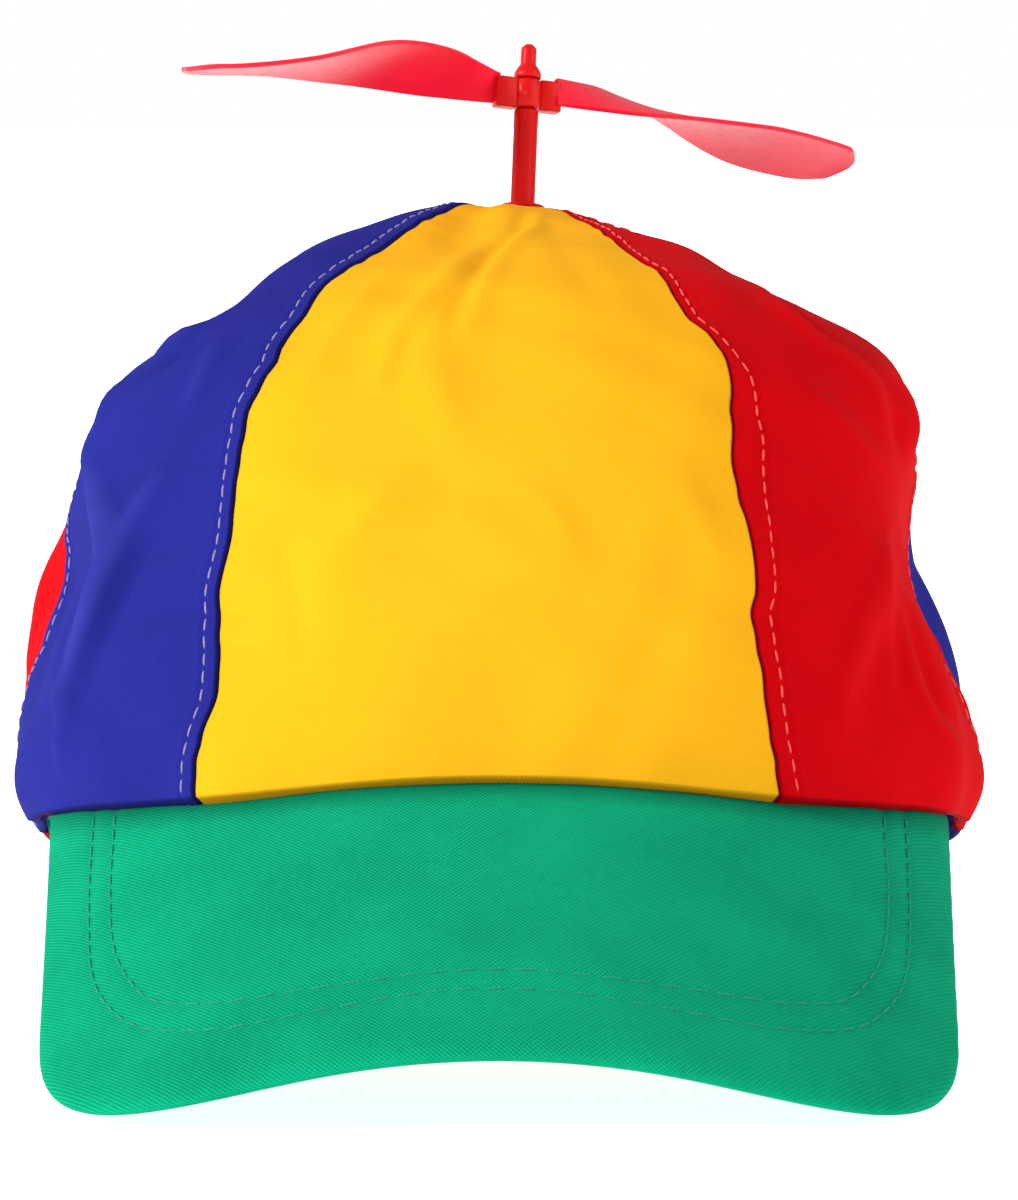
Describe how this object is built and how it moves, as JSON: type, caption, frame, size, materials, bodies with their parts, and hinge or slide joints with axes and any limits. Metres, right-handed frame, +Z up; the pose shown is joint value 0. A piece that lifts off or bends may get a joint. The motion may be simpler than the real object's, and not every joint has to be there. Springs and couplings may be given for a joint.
{
  "type": "propeller beanie cap",
  "caption": "Soft cap of coloured cloth panels with a curved brim and a two-bladed propeller that spins on a post on top.",
  "frame": {"origin": "middle of the resting cap's outline, on the table that it rests on", "axes": "+Z up from the table, -Y the way the brim points, +X a viewer's right when facing the brim"},
  "size_m": [0.1728, 0.2626, 0.1674],
  "materials": {
    "yellow_cloth": "woven cotton twill",
    "red_cloth": "woven cotton twill",
    "blue_cloth": "woven cotton twill",
    "green_cloth": "woven cotton twill over a board",
    "post_plastic": "gloss",
    "blade_plastic": "gloss"
  },
  "bodies": {
    "cap": {"front_panel": "yellow_cloth", "front_right_panel": "red_cloth", "rear_right_panel": "blue_cloth", "rear_panel": "yellow_cloth", "rear_left_panel": "red_cloth", "front_left_panel": "blue_cloth", "brim": "green_cloth", "post": "post_plastic"},
    "propeller": {"propeller": "blade_plastic"}
  },
  "joints": [
    {"name": "propeller_spin", "type": "hinge", "parent": "cap", "child": "propeller", "pos_m": [0.00541, 0.06528, 0.1576], "axis": [0.0401, 0.2417, 0.9695], "continuous": true}
  ]
}
